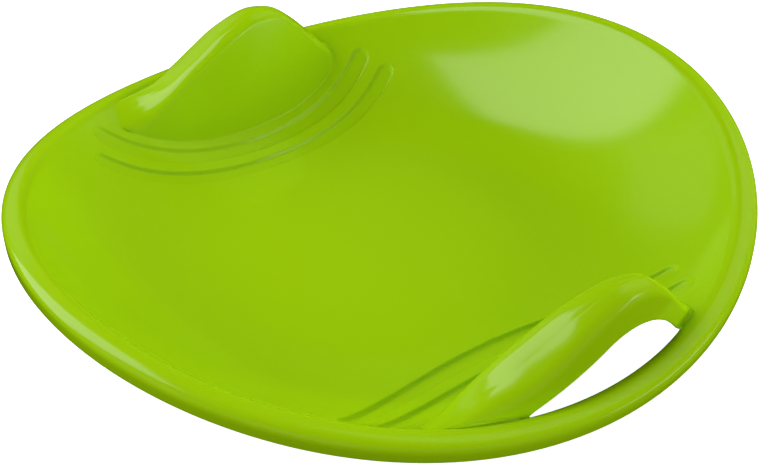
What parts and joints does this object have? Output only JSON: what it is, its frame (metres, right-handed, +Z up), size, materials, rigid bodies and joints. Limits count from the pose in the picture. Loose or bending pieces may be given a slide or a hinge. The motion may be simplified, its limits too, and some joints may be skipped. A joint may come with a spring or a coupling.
{
  "type": "saucer sled",
  "caption": "Round saucer sled: a shallow dish with a rolled, saddle-shaped rim, hollow arched grip hoods with hand windows at the sides, and curved grooves beside them.",
  "frame": {"origin": "on the ground under the middle of the dish", "axes": "+Z up, +Y towards the front, where the rim is highest, +X towards the rider's right"},
  "size_m": [0.6, 0.6, 0.1124],
  "materials": {
    "lime_plastic": "gloss"
  },
  "bodies": {
    "root": {"dish_pan": "lime_plastic", "rolled_rim": "lime_plastic", "grip_hood_right": "lime_plastic", "grip_hood_left": "lime_plastic"}
  },
  "joints": []
}
